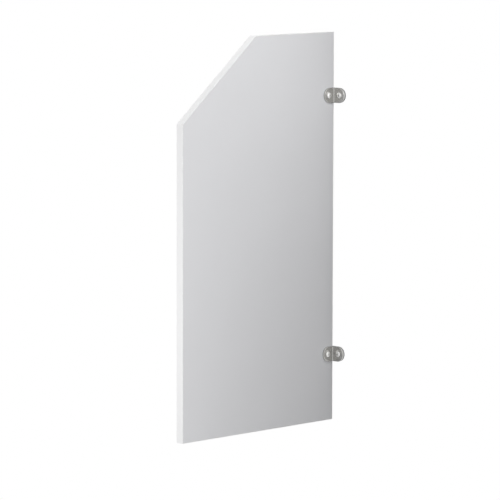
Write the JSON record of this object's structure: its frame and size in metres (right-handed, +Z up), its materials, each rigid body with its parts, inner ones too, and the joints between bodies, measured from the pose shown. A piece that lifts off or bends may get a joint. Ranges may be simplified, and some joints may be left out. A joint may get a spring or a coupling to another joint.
{
  "type": "urinal privacy screen",
  "caption": "Wall-hung privacy screen for a urinal: a white faced board with its top front corner cut off, held to the wall by round-ended metal angle brackets.",
  "frame": {"origin": "on the wall plane, at the axis of the lower wall screw", "axes": "+Z up along the board's height, +Y into the wall along the wall screws, +X out of the board's face on the side with the brackets"},
  "size_m": [0.0566, 0.548, 0.9],
  "materials": {
    "chipboard": "raw pressed chipboard",
    "facing": "satin white facing sheet",
    "edging": "white plastic edging, faintly satin",
    "bracket_metal": "satin stainless steel",
    "screw_metal": "bright plated steel",
    "pad": "dark grey moulded pad",
    "plug": "grey moulded nylon"
  },
  "bodies": {
    "root": {"board_core": "chipboard", "near_face_laminate": "facing", "far_face_laminate": "facing", "front_edge_band": "edging", "slope_edge_band": "edging", "top_edge_band": "edging", "rear_edge_band": "edging", "bottom_edge_band": "edging", "upper_bracket": "bracket_metal", "lower_bracket": "bracket_metal", "upper_wall_pad": "pad", "lower_wall_pad": "pad", "upper_panel_screw": "screw_metal", "lower_panel_screw": "screw_metal", "upper_sleeve_nut": "screw_metal", "lower_sleeve_nut": "screw_metal", "upper_wall_screw": "screw_metal", "lower_wall_screw": "screw_metal", "upper_wall_plug": "plug", "lower_wall_plug": "plug"}
  },
  "joints": []
}
